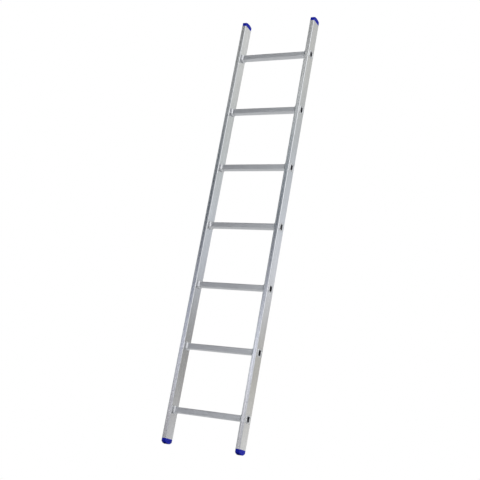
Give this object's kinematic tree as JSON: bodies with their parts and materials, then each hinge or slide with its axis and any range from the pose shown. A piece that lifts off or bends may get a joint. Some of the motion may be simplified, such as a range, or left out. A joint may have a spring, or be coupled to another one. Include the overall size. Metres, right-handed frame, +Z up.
{
  "type": "straight ladder",
  "caption": "Straight single-section aluminium ladder: two rectangular box stiles, hollow ribbed rungs rolled over through them, rounded blue plastic feet and top caps.",
  "frame": {"origin": "on the ground, midway between the two feet's soles", "axes": "+Z up along the stiles, X along the rungs (+X to the right seen from the front), -Y the front that a climber faces; the ladder stands upright, not leaning"},
  "size_m": [0.3808, 0.058, 2.0115],
  "materials": {
    "stile_aluminium": "mill-finish extrusion, satin",
    "rung_aluminium": "mill-finish extrusion, ribbed, satin",
    "blue_plastic": "moulded, slightly glossy"
  },
  "bodies": {
    "root": {"left_stile": "stile_aluminium", "right_stile": "stile_aluminium", "rung_1": "rung_aluminium", "rung_2": "rung_aluminium", "rung_3": "rung_aluminium", "rung_4": "rung_aluminium", "rung_5": "rung_aluminium", "rung_6": "rung_aluminium", "rung_7": "rung_aluminium", "left_foot": "blue_plastic", "right_foot": "blue_plastic", "left_top_cap": "blue_plastic", "right_top_cap": "blue_plastic"}
  },
  "joints": []
}
